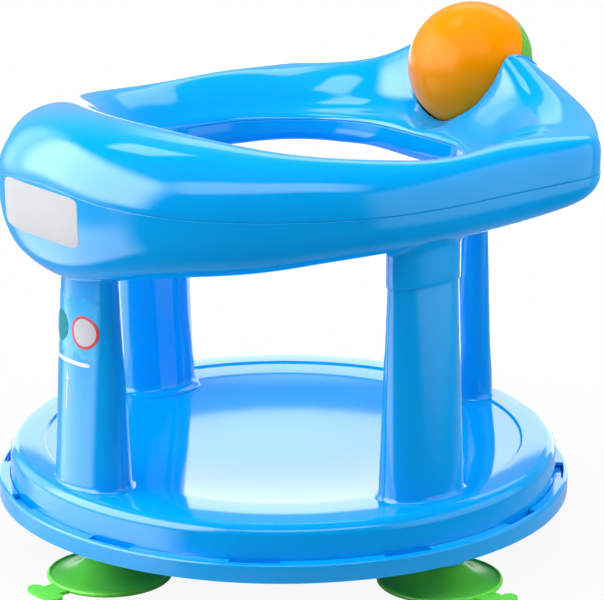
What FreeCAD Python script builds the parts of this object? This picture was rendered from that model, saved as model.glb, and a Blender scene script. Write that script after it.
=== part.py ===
import FreeCAD, Part
import math
import os

from FreeCAD import Vector

# Baby bath seat: a base on four suction cups, a seat that turns on it, and a play ball
# that spins on an axle at the front of the seat's ring.
# Millimetres, +Z up. The origin is on the swivel axis, in the plane that the cups rest on.
# The backrest is towards +Y, the play ball towards -Y, and the seat is symmetric about X = 0.

# Clearances and cutting
overrun = 1.0
fit_gap = 0.3
running_gap = 0.05
thread_gap = 0.05
origin = Vector(0, 0, 0)
up = Vector(0, 0, 1)
across = Vector(1, 0, 0)

# Sizes that the other plan sizes follow: the ring's width, the ball's place, the posts under the ring,
# the tray round the posts and the base's lip round the tray
ring_half_width = 143.5
ball_reach = 143.3
post_side_inset = 16.4
tray_side_margin = 33.5
post_back_inset = 26.0
ring_back_overhang = 31.4
ring_front_overhang = 38.3
tray_lip_gap = 0.4

# Base
base_height = 26.0
lip_width = 6.5
post_reach_side = ring_half_width - post_side_inset
tray_radius = post_reach_side + tray_side_margin
rim_radius = tray_radius + tray_lip_gap + lip_width
rim_wall = 2.6
rim_depth = 10.7
rim_edge_radius = 1.9
lip_thickness = 2.2
plate_wall = 2.5
track_height = 5.0
track_width = 14.0
plate_rise = 4.0
notch_count = 12
notch_length = 28.0
notch_depth = 4.2
notch_turn = 16.7
rib_count = 12
rib_wall = 2.2
rib_ring_radius = 72.0
drain_count = 8
drain_radius = 7.0
drain_circle_radius = 100.0

# Suction cups
cup_count = 4
cup_inset = 35.9
cup_circle_radius = rim_radius - cup_inset
cup_turn = 4.0
cup_radius = 35.5
cup_wall = 2.4
cup_bead_radius = 1.5
cup_skirt_shares = [(0.90, 0.02), (0.74, 0.13), (0.58, 0.36), (0.45, 0.66)]
cup_stem_radius = 7.4
cup_stem_rise = 10.0
cup_knob_radius = 8.8
cup_knob_height = 2.4
cup_boss_radius = 14.4
cup_boss_drop = 12.4
tab_reach = 51.0
tab_depth = 8.5
tab_half_angle = 16.0
tab_neck_width = 14.0
tab_thickness = 2.2
tab_corner_share = 0.45

# Swivel pivot
hub_radius = 12.0
hub_sleeve_wall = 3.0
hub_sleeve_clearance = 0.8
pivot_screw_radius = 3.0
pivot_screw_length = 11.0
pivot_head_radius = 5.5
pivot_head_height = 3.2
pivot_washer_radius = 19.0
pivot_washer_thickness = 1.6

# Seat tray
tray_wall = 2.6
tray_height = 29.6
tray_draft = 0.6
tray_shoulder_radius = 6.2
tray_flange_width = 3.4
tray_flange_thickness = 2.2
tray_band_width = 20.0
tray_band_drop = 1.2
tray_ring_width = 19.0
tray_dish_depth = 7.0
dish_radius_shares = [1.0, 0.93, 0.62, 0.3, 0.0]
dish_depth_shares = [0.0, 0.38, 0.80, 0.96, 1.0]

# Posts, oval, with the long way along the ring
post_reach_back = tray_radius - post_back_inset
post_side_shift = 1.9
post_half_length = 26.8
post_half_width = 18.3
post_top_half_length = 23.8
post_top_half_width = 10.7
post_flare = 5.5
post_flare_steps = 4
post_wall = 2.5
post_shoulder_height = 149.4
post_tenon_height = 30.0
post_cap_wall = 3.0
collar_proud = 1.1
collar_wall = 2.1
post_screw_radius = 1.9
post_screw_length = 12.0
screw_head_radius = 3.6
screw_head_height = 2.4
screw_boss_wall = 2.6

# Ring
ring_back_reach = post_reach_back + ring_back_overhang
ring_front_reach = ball_reach + ring_front_overhang
ring_over_shoulder = 46.6
ring_parting_height = post_shoulder_height + ring_over_shoulder
ring_crest_rise = 42.7
ring_drop = 47.0
ring_wall = 2.5
ring_screw_radius = 1.9
ring_screw_length = 16.0
ring_boss_drop = 14.0
ring_rows = 25
ring_columns = 13

# Half of the ring's plan, station by station from the middle of the back to the middle of the front.
# Each row: outer x and y, then inner x and y, as shares of the half width and of the reach
# behind the axis (positive) or in front of it (negative).
outline_shares = [
    (0.000, 1.000, 0.000, 0.589),
    (-0.290, 0.980, -0.220, 0.568),
    (-0.555, 0.852, -0.415, 0.473),
    (-0.750, 0.655, -0.559, 0.340),
    (-0.877, 0.445, -0.653, 0.180),
    (-0.971, 0.207, -0.701, 0.006),
    (-1.000, -0.061, -0.707, -0.120),
    (-0.992, -0.293, -0.675, -0.233),
    (-0.991, -0.485, -0.600, -0.337),
    (-0.971, -0.629, -0.499, -0.433),
    (-0.839, -0.758, -0.389, -0.493),
    (-0.642, -0.873, -0.292, -0.524),
    (-0.412, -0.942, -0.195, -0.536),
    (-0.205, -0.986, -0.098, -0.541),
    (0.000, -1.000, 0.000, -0.543),
]
# Crest height above the parting plane, and depth of the underside below it, as shares of the
# height and depth at the back.
crest_shares = [1.0, 0.84, 0.84, 0.71, 0.61, 0.53, 0.5, 0.53, 0.52, 0.5, 0.58, 0.72, 1.03, 1.06, 0.52]
outer_drop_shares = [1.0, 0.97, 0.75, 0.67, 0.58, 0.53, 0.49, 0.48, 0.45, 0.38, 0.31, 0.32, 0.36, 0.39, 0.4]
inner_drop_shares = [0.39, 0.43, 0.45, 0.41, 0.38, 0.36, 0.35, 0.35, 0.32, 0.32, 0.34, 0.34, 0.35, 0.37, 0.39]
# How far the crest is moved inwards at a station, as a share of the section's width.
crest_shift_shares = [0.09, 0.09, 0.11, 0.10, 0.07, 0.03, 0.00, -0.01, -0.01, -0.01, -0.01, -0.01, -0.01,
                      -0.01, -0.01]
# How much of each profile below shapes a station: back, side, corner, front.
profile_mix_shares = [
    (1.0, 0.0, 0.0, 0.0),
    (1.0, 0.0, 0.0, 0.0),
    (0.9, 0.1, 0.0, 0.0),
    (0.6, 0.4, 0.0, 0.0),
    (0.3, 0.7, 0.0, 0.0),
    (0.0, 1.0, 0.0, 0.0),
    (0.0, 1.0, 0.0, 0.0),
    (0.0, 0.8, 0.2, 0.0),
    (0.0, 0.4, 0.6, 0.0),
    (0.0, 0.0, 1.0, 0.0),
    (0.0, 0.0, 0.6, 0.4),
    (0.0, 0.0, 0.2, 0.8),
    (0.0, 0.0, 0.0, 1.0),
    (0.0, 0.0, 0.0, 1.0),
    (0.0, 0.0, 0.0, 1.0),
]
# Section of the upper shell: share of the way in from the outer edge, and share of the crest height.
upper_profile_shares = [
    [(0, 0), (0.015, 0.30), (0.06, 0.60), (0.13, 0.83), (0.24, 0.965), (0.38, 1.0), (0.52, 0.95),
     (0.65, 0.80), (0.79, 0.55), (0.92, 0.25), (1, 0)],
    [(0, 0), (0.02, 0.30), (0.07, 0.58), (0.16, 0.81), (0.28, 0.955), (0.40, 1.0), (0.53, 0.95),
     (0.66, 0.80), (0.79, 0.57), (0.91, 0.29), (1, 0)],
    [(0, 0), (0.00, 0.33), (0.012, 0.64), (0.05, 0.86), (0.14, 0.955), (0.30, 1.0), (0.45, 0.96),
     (0.60, 0.80), (0.75, 0.52), (0.89, 0.22), (1, 0)],
    [(0, 0), (0.00, 0.22), (0.01, 0.42), (0.05, 0.60), (0.18, 0.78), (0.38, 0.98), (0.48, 0.985),
     (0.58, 0.78), (0.68, 0.47), (0.84, 0.17), (1, 0)],
]
# Section of the lower shell: share of the way in, then shares of the outer and the inner depth.
lower_profile_shares = [
    (0.0, 0.0, 0.0), (0.0, 0.33, 0.0), (0.03, 0.66, 0.0), (0.11, 0.90, 0.0), (0.25, 1.0, 0.0),
    (0.45, 0.76, 0.24), (0.66, 0.42, 0.60), (0.86, 0.12, 0.92), (0.965, 0.0, 0.88), (1.0, 0.0, 0.52),
    (1.0, 0.0, 0.0),
]
ring_screw_stations = [2.0, 3.4, 7.4, 10.0]
ring_screw_across_share = 0.48

# Play ball
ball_radius = 38.2
ball_wall = 2.4
ball_rise = 35.4
ball_height = ring_parting_height + ball_rise
ball_gap = 1.5
ball_seam_tilt = 34.0
ball_hub_wall = 2.6
ball_axle_radius = 3.0
ball_axle_length = 97.0
axle_boss_wall = 2.6


def add(base, *others):
    shape = base
    for other in others:
        shape = shape.fuse(other)
    return shape


def cut(base, *others):
    shape = base
    for other in others:
        shape = shape.cut(other)
    return shape


def rod(radius, low, high, x=0.0, y=0.0):
    return Part.makeCylinder(radius, high - low, Vector(x, y, low), up)


def rod_across(radius, half_length, y, z):
    return Part.makeCylinder(radius, 2 * half_length, Vector(-half_length, y, z), across)


def tube(outer, inner, low, high):
    return rod(outer, low, high).cut(rod(inner, low - overrun, high + overrun))


def turned(shape, degrees):
    copy = shape.copy()
    copy.rotate(origin, up, degrees)
    return copy


def moved(shape, x, y, z=0.0):
    copy = shape.copy()
    copy.translate(Vector(x, y, z))
    return copy


def mirrored(shape):
    return shape.mirror(origin, across)


def closed_solid(faces):
    shell = Part.makeShell(faces)
    shell.sewShape()
    solid = Part.makeSolid(shell)
    if solid.Volume < 0:
        solid.reverse()
    return solid


def revolved(edges):
    face = Part.Face(Part.Wire(Part.__sortEdges__(edges)))
    return face.revolve(origin, up, 360)


def profile_point(radius, z):
    return Vector(radius, 0, z)


def lines(points):
    return [Part.makeLine(a, b) for a, b in zip(points, points[1:])]


def smooth_edge(points):
    curve = Part.BSplineCurve()
    curve.interpolate(points)
    return curve.toShape()


def oval(half_x, half_y, z):
    if half_x >= half_y:
        curve = Part.Ellipse(Vector(0, 0, z), half_x, half_y)
        return Part.Wire([curve.toShape()])
    curve = Part.Ellipse(Vector(0, 0, z), half_y, half_x)
    wire = Part.Wire([curve.toShape()])
    wire.rotate(Vector(0, 0, z), up, 90)
    return wire


def oval_loft(sections, ruled=True):
    wires = [oval(*section) for section in sections]
    return Part.makeLoft(wires, True, ruled)


# Heights that several pieces share
track_z = base_height + track_height
rim_top_z = base_height + rim_depth
tray_top_z = base_height + tray_height
tray_ring_z = tray_top_z - tray_band_drop
tray_foot_z = track_z + fit_gap
dish_z = tray_ring_z - tray_dish_depth
shoulder_z = base_height + post_shoulder_height
post_top_z = shoulder_z + post_tenon_height
parting_z = base_height + ring_parting_height
ball_z = base_height + ball_height
plate_z = track_z + plate_rise
cup_boss_z = base_height - cup_boss_drop
ball_centre = Vector(0, -ball_reach, ball_z)

post_places = [
    (0.0, post_reach_back, 0),
    (-post_reach_side, post_side_shift, 90),
    (0.0, -post_reach_back, 180),
    (post_reach_side, post_side_shift, 270),
]
cup_angles = [cup_turn + 90 * (1 + index) for index in range(cup_count)]


def cup_place(degrees):
    angle = math.radians(degrees)
    return cup_circle_radius * math.cos(angle), cup_circle_radius * math.sin(angle)


def base_notches():
    inner = rim_radius - lip_width - overrun
    outer = rim_radius - lip_width + notch_depth
    angle = math.degrees(notch_length / outer)
    low = rim_top_z - lip_thickness - overrun
    band = Part.makeCylinder(outer, rim_top_z + overrun - low, Vector(0, 0, low), up, angle)
    hole = rod(inner, low - overrun, rim_top_z + 2 * overrun)
    notch = turned(band.cut(hole), -angle / 2)
    return [turned(notch, notch_turn + index * 360 / notch_count) for index in range(notch_count)]


def base_dish():
    track_inner = rim_radius - track_width
    bottom = base_height
    edge = rim_edge_radius
    corner = math.sqrt(0.5) * edge
    outline = lines([
        profile_point(0, plate_z - plate_wall),
        profile_point(track_inner - plate_wall, plate_z - plate_wall),
        profile_point(track_inner, track_z - plate_wall),
        profile_point(rim_radius - rim_wall, track_z - plate_wall),
        profile_point(rim_radius - rim_wall, bottom),
        profile_point(rim_radius, bottom),
        profile_point(rim_radius, rim_top_z - edge),
    ])
    outline.append(Part.Arc(
        profile_point(rim_radius, rim_top_z - edge),
        profile_point(rim_radius - edge + corner, rim_top_z - edge + corner),
        profile_point(rim_radius - edge, rim_top_z)).toShape())
    outline += lines([
        profile_point(rim_radius - edge, rim_top_z),
        profile_point(rim_radius - lip_width, rim_top_z),
        profile_point(rim_radius - lip_width, rim_top_z - lip_thickness),
        profile_point(rim_radius - rim_wall, rim_top_z - lip_thickness),
        profile_point(rim_radius - rim_wall, track_z),
        profile_point(track_inner + plate_wall, track_z),
        profile_point(track_inner, plate_z),
        profile_point(0, plate_z),
        profile_point(0, plate_z - plate_wall),
    ])
    dish = revolved(outline)
    sleeve_bore = hub_radius + running_gap
    sleeve_top = dish_z - tray_wall - hub_sleeve_clearance
    pieces = [tube(sleeve_bore + hub_sleeve_wall, sleeve_bore, plate_z - plate_wall, sleeve_top)]
    rib_low = base_height + rib_wall
    rib_high = plate_z - plate_wall / 2
    ring_rib = tube(rib_ring_radius + rib_wall, rib_ring_radius, rib_low, rib_high)
    pieces.append(ring_rib)
    rib_start = pivot_washer_radius + plate_wall
    rib_length = track_inner - plate_wall / 2 - rib_start
    rib = Part.makeBox(rib_length, rib_wall, rib_high - rib_low, Vector(rib_start, -rib_wall / 2, rib_low))
    spacing = 360 / rib_count
    pieces += [turned(rib, cup_turn + index * spacing) for index in range(rib_count)]
    holes = [rod(sleeve_bore, base_height, sleeve_top + overrun)]
    for degrees in cup_angles:
        x, y = cup_place(degrees)
        pieces.append(rod(cup_boss_radius, cup_boss_z, plate_z - plate_wall / 2, x, y))
        holes.append(rod(cup_stem_radius + fit_gap, cup_boss_z - overrun, stem_top_z() + fit_gap, x, y))
        holes.append(rod(cup_knob_radius + fit_gap, knob_low_z() - fit_gap,
                         knob_low_z() + cup_knob_height + fit_gap, x, y))
    drain = rod(drain_radius, base_height, plate_z + overrun, drain_circle_radius, 0)
    drain_spacing = 360 / drain_count
    first_drain = cup_turn + spacing / 2
    holes += [turned(drain, first_drain + drain_spacing * index) for index in range(drain_count)]
    return cut(add(dish, *pieces), *holes, *base_notches())


def stem_top_z():
    return cup_boss_z + cup_stem_rise


def knob_low_z():
    return cup_boss_z + (cup_stem_rise - cup_knob_height) / 2


def suction_cup(degrees):
    # A flared skirt with a round bead at its edge, a stem with a snap knob, and a pull tab.
    neck = cup_stem_radius + cup_wall
    under = cup_boss_z - fit_gap
    bead_centre = cup_radius - cup_bead_radius
    top = [profile_point(bead_centre * out, cup_wall + (under - cup_wall) * rise)
           for out, rise in cup_skirt_shares]
    top = [profile_point(bead_centre, cup_wall)] + top + [profile_point(neck, under)]
    low = [point - Vector(0, 0, cup_wall) for point in top]
    low_end = profile_point(0, under - cup_wall)
    top_end = profile_point(0, under)
    skirt = revolved([smooth_edge(top), smooth_edge(low)] + lines([top[-1], top_end, low_end, low[-1]])
                     + lines([top[0], low[0]]))
    ring = Part.makeTorus(bead_centre, cup_bead_radius, Vector(0, 0, cup_bead_radius), up)
    stem = rod(cup_stem_radius, under - cup_wall / 2, stem_top_z())
    knob = rod(cup_knob_radius, knob_low_z(), knob_low_z() + cup_knob_height)
    cup = add(skirt, ring, stem, knob, pull_tab())
    x, y = cup_place(degrees)
    return moved(turned(cup, degrees), x, y)


def pull_tab():
    inner = tab_reach - tab_depth
    band = Part.makeCylinder(tab_reach, tab_thickness, origin, up, 2 * tab_half_angle)
    band = turned(band, -tab_half_angle).cut(rod(inner, -overrun, tab_thickness + overrun))
    ends = [edge for edge in band.Edges if is_upright(edge)]
    band = band.makeFillet(tab_depth * tab_corner_share, ends)
    start = cup_radius - 2 * cup_bead_radius
    neck = Part.makeBox(inner + tab_depth / 2 - start, tab_neck_width, tab_thickness,
                        Vector(start, -tab_neck_width / 2, 0))
    hole = rod(start, -overrun, tab_thickness + overrun)
    return add(band, neck.cut(hole))


def is_upright(edge):
    first, last = edge.Vertexes[0].Point, edge.Vertexes[-1].Point
    return abs(first.x - last.x) + abs(first.y - last.y) < running_gap and abs(first.z - last.z) > running_gap


def tray_edges():
    # Outer side from the flange up over the shoulder, in along the top to the dish, and back beneath.
    foot = tray_foot_z
    wall_top = tray_radius - tray_draft
    turn = tray_shoulder_radius
    corner = math.sqrt(0.5) * turn
    flange_top = foot + tray_flange_thickness
    band_inner = wall_top - tray_band_width
    dish_edge = band_inner - tray_ring_width
    outer = lines([
        profile_point(tray_radius - tray_wall, foot),
        profile_point(tray_radius + tray_flange_width, foot),
        profile_point(tray_radius + tray_flange_width, flange_top),
        profile_point(tray_radius, flange_top),
        profile_point(wall_top, tray_top_z - turn),
    ])
    outer.append(Part.Arc(
        profile_point(wall_top, tray_top_z - turn),
        profile_point(wall_top - turn + corner, tray_top_z - turn + corner),
        profile_point(wall_top - turn, tray_top_z)).toShape())
    outer += lines([
        profile_point(wall_top - turn, tray_top_z),
        profile_point(band_inner + tray_band_drop, tray_top_z),
        profile_point(band_inner, tray_ring_z),
        profile_point(dish_edge, tray_ring_z),
    ])
    dish = [profile_point(dish_edge * out, tray_ring_z - tray_dish_depth * down)
            for out, down in zip(dish_radius_shares, dish_depth_shares)]
    outer.append(smooth_edge(dish))
    under = [point - Vector(0, 0, tray_wall) for point in dish]
    outer.append(smooth_edge(under))
    outer += lines([dish[-1], under[-1]])
    outer += lines([
        under[0],
        profile_point(band_inner, tray_ring_z - tray_wall),
        profile_point(wall_top - tray_wall, tray_ring_z - tray_wall),
        profile_point(tray_radius - tray_wall, foot),
    ])
    return outer


def post_section(share, inset=0.0):
    # Half length and half width of a post at a share of the way up its shaft, less an inset.
    length = post_half_length + (post_top_half_length - post_half_length) * share
    width = post_half_width + (post_top_half_width - post_half_width) * share
    return length - inset, width - inset


def post_outside():
    foot = tray_ring_z + post_flare
    length, width = post_section(0)
    top_length, top_width = post_section(1)
    flare = [(length + post_flare, width + post_flare, tray_ring_z - tray_wall / 2)]
    for step in range(post_flare_steps + 1):
        angle = math.radians(90 * step / post_flare_steps)
        spread = post_flare * (1 - math.sin(angle))
        rise = post_flare * (1 - math.cos(angle))
        flare.append((length + spread, width + spread, tray_ring_z + rise))
    shaft = oval_loft([(length, width, foot), (top_length, top_width, shoulder_z)])
    inset = collar_wall - collar_proud + fit_gap
    tenon = oval_loft([(top_length - inset, top_width - inset, shoulder_z - overrun),
                       (top_length - inset, top_width - inset, post_top_z)])
    return add(oval_loft(flare[:2]), oval_loft(flare[1:], False), shaft, tenon)


def post_hollow():
    inset = collar_wall - collar_proud + fit_gap + post_wall
    low_length, low_width = post_section(0, post_wall)
    high_length, high_width = post_section(1, inset)
    roof = post_top_z - post_cap_wall
    return oval_loft([(low_length, low_width, track_z), (high_length, high_width, roof)])


def post_screw_hole():
    return rod(post_screw_radius + thread_gap, post_top_z - post_screw_length - overrun, post_top_z + overrun)


def placed_post(shape, place):
    x, y, degrees = place
    return moved(turned(shape, degrees), x, y)


def swivel_tray():
    tray = revolved(tray_edges())
    hub_low = plate_z - plate_wall
    hub = rod(hub_radius, hub_low, dish_z - tray_wall / 2)
    tray = add(tray, hub)
    boss_low = post_top_z - post_screw_length - post_cap_wall
    boss = rod(post_screw_radius + screw_boss_wall, boss_low, post_top_z)
    for place in post_places:
        tray = add(tray, placed_post(post_outside(), place))
    for place in post_places:
        tray = cut(tray, placed_post(post_hollow(), place))
        tray = add(tray, placed_post(boss, place))
        tray = cut(tray, placed_post(post_screw_hole(), place))
    screw_end = hub_low + pivot_screw_length + overrun
    screw_hole = rod(pivot_screw_radius + thread_gap, hub_low - overrun, screw_end)
    return cut(tray, screw_hole)


def pivot_screw():
    seat = plate_z - plate_wall - pivot_washer_thickness
    shaft = rod(pivot_screw_radius, seat - overrun, seat + pivot_washer_thickness + pivot_screw_length)
    head = rod(pivot_head_radius, seat - pivot_head_height, seat)
    return add(shaft, head)


def pivot_washer():
    top = plate_z - plate_wall - running_gap
    low = top - pivot_washer_thickness + running_gap
    return tube(pivot_washer_radius, pivot_screw_radius + thread_gap, low, top)


def outline_curve(column):
    # A closed curve through one column pair of the plan table and its mirror image.
    rows = outline_shares + [(-row[0], row[1], -row[2], row[3]) for row in outline_shares[-2:0:-1]]
    points = []
    for row in rows:
        reach = ring_back_reach if row[column + 1] >= 0 else ring_front_reach
        points.append(Vector(row[column] * ring_half_width, row[column + 1] * reach, parting_z))
    return periodic(points)


def periodic(points):
    curve = Part.BSplineCurve()
    steps = [float(index) for index in range(len(points) + 1)]
    curve.interpolate(Points=points, Parameters=steps, PeriodicFlag=True)
    return curve


def closed_values(values):
    # A smooth closed function of the station, read as x, through the values and their mirror image.
    whole = values + values[-2:0:-1]
    turns = [2 * math.pi * index / len(whole) for index in range(len(whole))]
    return periodic([Vector(value, math.cos(turn), math.sin(turn)) for value, turn in zip(whole, turns)])


stations = len(outline_shares) - 1
outer_curve = outline_curve(0)
inner_curve = outline_curve(2)
crest_curve = closed_values(crest_shares)
crest_shift_curve = closed_values(crest_shift_shares)
outer_drop_curve = closed_values(outer_drop_shares)
inner_drop_curve = closed_values(inner_drop_shares)
mix_curves = [closed_values([row[kind] for row in profile_mix_shares]) for kind in range(4)]


def between(station, across_share):
    outer, inner = outer_curve.value(station), inner_curve.value(station)
    return outer + (inner - outer) * across_share


def upper_row(station):
    mix = [curve.value(station).x for curve in mix_curves]
    rise = ring_crest_rise * crest_curve.value(station).x
    shift = crest_shift_curve.value(station).x
    row = []
    for index in range(len(upper_profile_shares[0])):
        inward = sum(part * profile[index][0] for part, profile in zip(mix, upper_profile_shares))
        height = sum(part * profile[index][1] for part, profile in zip(mix, upper_profile_shares))
        inward += shift * 4 * inward * (1 - inward)
        row.append(between(station, inward) + Vector(0, 0, rise * height))
    return row


def lower_row(station):
    outer_drop = ring_drop * outer_drop_curve.value(station).x
    inner_drop = ring_drop * inner_drop_curve.value(station).x
    row = []
    for inward, outer_share, inner_share in lower_profile_shares:
        down = outer_drop * outer_share + inner_drop * inner_share
        row.append(between(station, inward) - Vector(0, 0, down))
    return row


def even_row(points, leaving, arriving):
    # Points at equal steps along a smooth section that crosses the parting plane squarely.
    lengths = [0.0]
    for before, after in zip(points, points[1:]):
        lengths.append(lengths[-1] + before.distanceToPoint(after))
    curve = Part.BSplineCurve()
    curve.interpolate(Points=points, Parameters=lengths, InitialTangent=leaving, FinalTangent=arriving,
                      Scale=False)
    return curve.discretize(Number=ring_columns)


def half_grid(row_at, leaving):
    rows = [row_at(stations * index / (ring_rows - 1)) for index in range(ring_rows)]
    grid = [even_row(row, leaving, leaving * -1) for row in rows]
    for row in grid:
        row[0].z = parting_z
        row[-1].z = parting_z
    for end in (0, -1):
        grid[end] = [Vector(0, point.y, point.z) for point in grid[end]]
    return grid


def inset_grid(grid, wall):
    # Moves each point of a half grid inwards by the wall, and keeps its edges in their planes.
    rows, columns = len(grid), len(grid[0])
    inside = []
    for i in range(rows):
        row = []
        middle = sum(grid[i], Vector()) / columns
        for j in range(columns):
            before = grid[i - 1][j] if i > 0 else reflect(grid[1][j])
            after = grid[i + 1][j] if i < rows - 1 else reflect(grid[rows - 2][j])
            along = after - before
            around = grid[i][min(j + 1, columns - 1)] - grid[i][max(j - 1, 0)]
            normal = along.cross(around)
            if j in (0, columns - 1):
                normal.z = 0
            if i in (0, rows - 1):
                normal.x = 0
            normal.normalize()
            if normal.dot(middle - grid[i][j]) < 0:
                normal = normal * -1
            row.append(grid[i][j] + normal * wall)
        inside.append(row)
    return inside


def reflect(point):
    return Vector(-point.x, point.y, point.z)


def skin_of_grid(grid):
    surface = Part.BSplineSurface()
    surface.interpolate(grid)
    return surface


def parting_edges(surface):
    # The skin's two long edges, both in the parting plane.
    low, high = surface.bounds()[2:]
    return surface.vIso(low).toShape(), surface.vIso(high).toShape()


def flat_face(*edges):
    return Part.Face(Part.Wire(Part.__sortEdges__(list(edges))))


def with_mirror(faces):
    return closed_solid(faces + [mirrored(face) for face in faces])


def envelope_of(grid):
    # The skin closed by one flat face at the parting plane.
    skin = skin_of_grid(grid)
    outer, inner = parting_edges(skin)
    back = Part.makeLine(grid[0][0], grid[0][-1])
    front = Part.makeLine(grid[-1][0], grid[-1][-1])
    return with_mirror([skin.toShape(), flat_face(outer, front, inner, back)])


def hollow_of(grid):
    # Like an envelope, but open at the parting plane: its walls run down past the plane by an overrun.
    skin = skin_of_grid(grid)
    down = Vector(0, 0, -overrun)
    edges = parting_edges(skin)
    walls = [edge.extrude(down) for edge in edges]
    low = [moved(edge, 0, 0, -overrun) for edge in edges]
    ends = [Part.makeLine(row[0] + down, row[-1] + down) for row in (grid[0], grid[-1])]
    return with_mirror([skin.toShape()] + walls + [flat_face(*low, *ends)])


def shell_of(grid):
    # The skin and a second one a wall inside it, joined by two flat strips at the parting plane.
    inside_grid = inset_grid(grid, ring_wall)
    skin, inside = skin_of_grid(grid), skin_of_grid(inside_grid)
    faces = [skin.toShape(), inside.toShape()]
    for column, edge, inset_edge in zip((0, -1), parting_edges(skin), parting_edges(inside)):
        ends = [Part.makeLine(grid[row][column], inside_grid[row][column]) for row in (0, -1)]
        faces.append(flat_face(edge, ends[1], inset_edge, ends[0]))
    return with_mirror(faces)


def left_screw_places():
    return [between(station, ring_screw_across_share) for station in ring_screw_stations]


def ring_screw_places():
    places = left_screw_places()
    return places + [reflect(place) for place in places]


def screw_boss_radius(radius):
    return radius + thread_gap + screw_boss_wall


def left_half(shape):
    # What a shape has on the -X side of the middle plane.
    size = 2 * (ring_half_width + ring_front_reach)
    return shape.common(Part.makeBox(size, size, size, Vector(-size, -size / 2, -size / 2)))


def ring_upper_shell():
    # One half, joined to its mirror image. The socket, the axle's boss and the screws' bosses are
    # left standing in the hollow.
    grid = half_grid(upper_row, up)
    socket = ball_radius + ball_gap
    boss_end = ball_axle_length / 2
    bowl = Part.makeSphere(socket + ball_wall, ball_centre)
    axle_boss = rod_across(ball_axle_radius + axle_boss_wall, boss_end + axle_boss_wall, -ball_reach, ball_z)
    standing = [bowl, axle_boss]
    holes = []
    for place in left_screw_places():
        standing.append(rod(screw_boss_radius(ring_screw_radius), parting_z - 2 * overrun,
                            parting_z + ring_crest_rise, place.x, place.y))
        holes.append(rod(ring_screw_radius + thread_gap, parting_z - overrun,
                         parting_z + ring_screw_length - ring_boss_drop / 2 + overrun, place.x, place.y))
    hollow = cut(left_half(hollow_of(inset_grid(grid, ring_wall))), *standing)
    half = left_half(envelope_of(grid)).cut(hollow)
    well = rod(socket - ball_wall, parting_z - ring_boss_drop, parting_z + overrun, 0, -ball_reach)
    half = half.fuse(left_half(bowl.common(well)))
    axle_hole = rod_across(ball_axle_radius + thread_gap, boss_end + thread_gap, -ball_reach, ball_z)
    half = cut(half, Part.makeSphere(socket, ball_centre), axle_hole, *holes)
    return half.fuse(mirrored(half))


def collar(low, high, outward):
    length, width = post_section(1, -outward)
    return oval_loft([(length, width, low), (length, width, high)])


def shaft_room():
    # A post's shaft with a gap round it, for the shell to stand on where it hangs below the shoulder.
    low_length, low_width = post_section(0, -fit_gap)
    high_length, high_width = post_section(1, -fit_gap)
    return oval_loft([(low_length, low_width, tray_ring_z + post_flare),
                      (high_length, high_width, shoulder_z + fit_gap)])


def ring_lower_shell():
    grid = half_grid(lower_row, up * -1)
    whole = envelope_of(grid)
    shell = shell_of(grid)
    web_top = post_top_z + fit_gap + post_cap_wall
    sleeve = collar(shoulder_z + fit_gap, web_top, collar_proud)
    bore = collar(shoulder_z - overrun, post_top_z + fit_gap, collar_proud - collar_wall)
    screw = rod(post_screw_radius + fit_gap, post_top_z, web_top + overrun)
    for place in post_places:
        shell = add(shell, placed_post(sleeve, place))
    for place in post_places:
        shell = cut(shell, placed_post(bore, place), placed_post(screw, place),
                    placed_post(shaft_room(), place))
    head_z = parting_z - ring_boss_drop / 2
    for place in ring_screw_places():
        boss = rod(screw_head_radius + screw_boss_wall, parting_z - ring_drop, parting_z, place.x, place.y)
        recess = rod(screw_head_radius + fit_gap, parting_z - ring_drop - overrun, head_z, place.x, place.y)
        hole = rod(ring_screw_radius + fit_gap, head_z - overrun, parting_z + overrun, place.x, place.y)
        shell = cut(add(shell, boss.common(whole)), recess, hole)
    return shell


def screw(radius, length, x, y, z, pointing):
    # Head's seat at z, thread pointing up (1) or down (-1).
    shaft = Part.makeCylinder(radius, length, Vector(x, y, z), up * pointing)
    head = Part.makeCylinder(screw_head_radius, screw_head_height, Vector(x, y, z), up * -pointing)
    return add(shaft, head)


def ring_screws():
    head_z = parting_z - ring_boss_drop / 2
    return Part.makeCompound([screw(ring_screw_radius, ring_screw_length, place.x, place.y, head_z, 1)
                              for place in ring_screw_places()])


def post_screws():
    seat = post_top_z + fit_gap + post_cap_wall
    return Part.makeCompound([screw(post_screw_radius, post_screw_length, x, y, seat, -1)
                              for x, y, degrees in post_places])


def ball_half(side):
    # Half of a hollow ball with half of the sleeve that turns on the axle.
    bore = ball_axle_radius + running_gap
    sleeve = rod_across(bore + ball_hub_wall, ball_radius - ball_wall / 2, -ball_reach, ball_z)
    ball = Part.makeSphere(ball_radius, ball_centre)
    shell = ball.cut(Part.makeSphere(ball_radius - ball_wall, ball_centre))
    sleeve = sleeve.common(ball)
    whole = add(shell, sleeve).cut(rod_across(bore, ball_radius + overrun, -ball_reach, ball_z))
    size = 2 * ball_radius + 2 * overrun
    block = Part.makeBox(size, size, size, Vector(-size / 2, 0 if side > 0 else -size, -size / 2))
    block.rotate(origin, across, ball_seam_tilt)
    block.translate(ball_centre)
    return whole.common(block)


def ball_axle():
    return rod_across(ball_axle_radius, ball_axle_length / 2, -ball_reach, ball_z)


def save(name, shape):
    shape = shape.removeSplitter() if shape.Solids else shape
    if len(shape.Solids) == 1:
        shape = shape.Solids[0]
    print(name, "solids", len(shape.Solids), "faces", len(shape.Faces), "volume", round(shape.Volume),
          "valid", shape.isValid())
    shape.exportStep("parts/" + name + ".step")


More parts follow.
